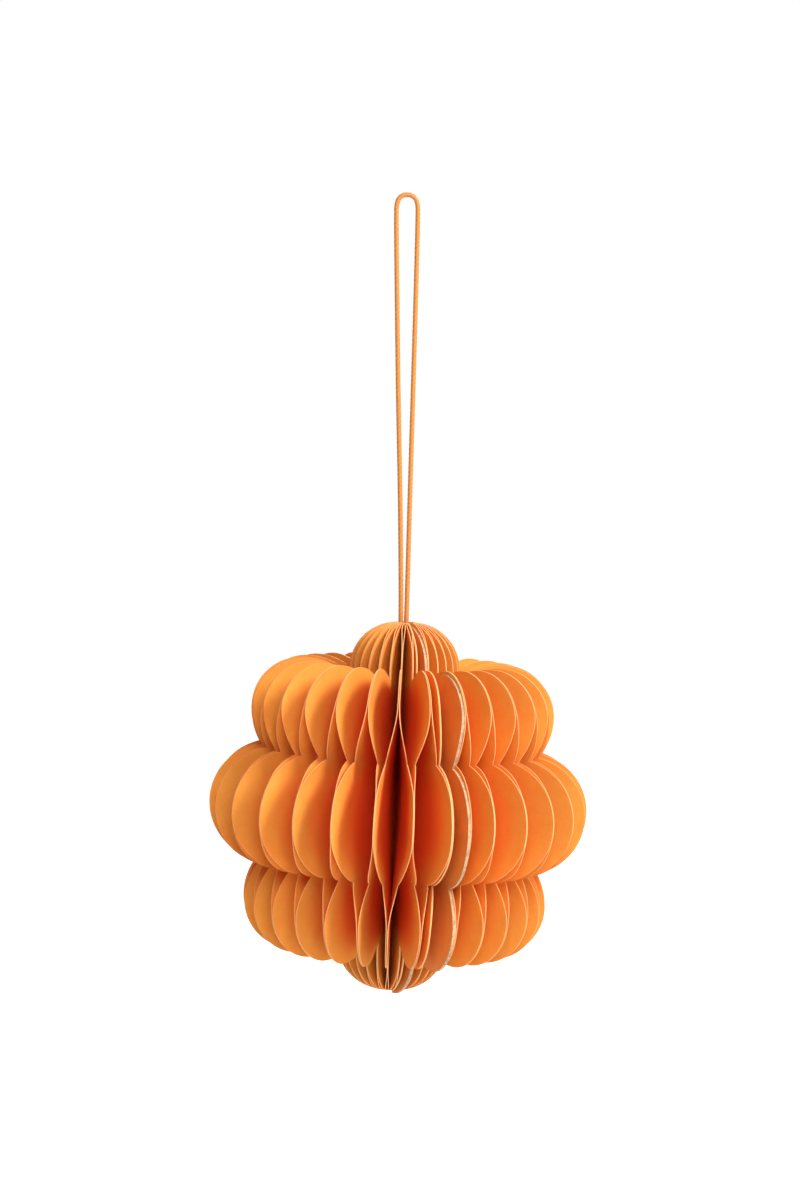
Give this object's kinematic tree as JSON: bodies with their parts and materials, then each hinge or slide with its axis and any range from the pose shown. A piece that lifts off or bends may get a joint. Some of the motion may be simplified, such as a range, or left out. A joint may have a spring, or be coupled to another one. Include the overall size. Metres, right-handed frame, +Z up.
{
  "type": "kusudama paper ball ornament",
  "caption": "Hanging paper ball: die-cut leaves with three stacked rings of round lobes and domed ends, glued cell by cell round a spine, open at a board-covered seam, on a cord loop.",
  "frame": {"origin": "the inner top of the cord loop, where a hook or twig bears", "axes": "+Z up along the spine of the ball, which stands 5 mm to the right of the hanging point; the seam faces the front, -Y, a little to the right; +X to the right"},
  "size_m": [0.1002, 0.1, 0.212],
  "materials": {
    "leaf_paper": "matte orange dyed paper, paler at the cut edges",
    "end_card": "matte orange thin card, paler at the cut edges",
    "cover_board": "dull orange board with a greyish cut edge",
    "spine_glue": "set craft glue",
    "waxed_cord": "twisted orange waxed cotton"
  },
  "bodies": {
    "root": {"leaf_01": "leaf_paper", "leaf_02": "leaf_paper", "leaf_03": "leaf_paper", "leaf_04": "leaf_paper", "leaf_05": "leaf_paper", "leaf_06": "leaf_paper", "leaf_07": "leaf_paper", "leaf_08": "leaf_paper", "leaf_09": "leaf_paper", "leaf_10": "leaf_paper", "leaf_11": "leaf_paper", "leaf_12": "leaf_paper", "leaf_13": "leaf_paper", "leaf_14": "leaf_paper", "leaf_15": "leaf_paper", "leaf_16": "leaf_paper", "leaf_17": "leaf_paper", "leaf_18": "leaf_paper", "leaf_19": "leaf_paper", "leaf_20": "leaf_paper", "leaf_21": "leaf_paper", "leaf_22": "leaf_paper", "leaf_23": "leaf_paper", "leaf_24": "leaf_paper", "leaf_25": "leaf_paper", "leaf_26": "leaf_paper", "leaf_27": "leaf_paper", "leaf_28": "leaf_paper", "leaf_29": "leaf_paper", "leaf_30": "leaf_paper", "leaf_31": "leaf_paper", "leaf_32": "leaf_paper", "leaf_33": "leaf_paper", "leaf_34": "leaf_paper", "leaf_35": "leaf_paper", "leaf_36": "leaf_paper", "leaf_37": "leaf_paper", "leaf_38": "leaf_paper", "leaf_39": "leaf_paper", "leaf_40": "leaf_paper", "leaf_41": "leaf_paper", "leaf_42": "leaf_paper", "leaf_43": "leaf_paper", "leaf_44": "leaf_paper", "leaf_45": "leaf_paper", "leaf_46": "leaf_paper", "leaf_47": "leaf_paper", "leaf_48": "leaf_paper", "leaf_49": "leaf_paper", "leaf_50": "leaf_paper", "leaf_51": "leaf_paper", "leaf_52": "leaf_paper", "leaf_53": "leaf_paper", "leaf_54": "leaf_paper", "end_card": "end_card", "cover_board": "cover_board", "spine_glue": "spine_glue", "hanging_cord": "waxed_cord"}
  },
  "joints": []
}
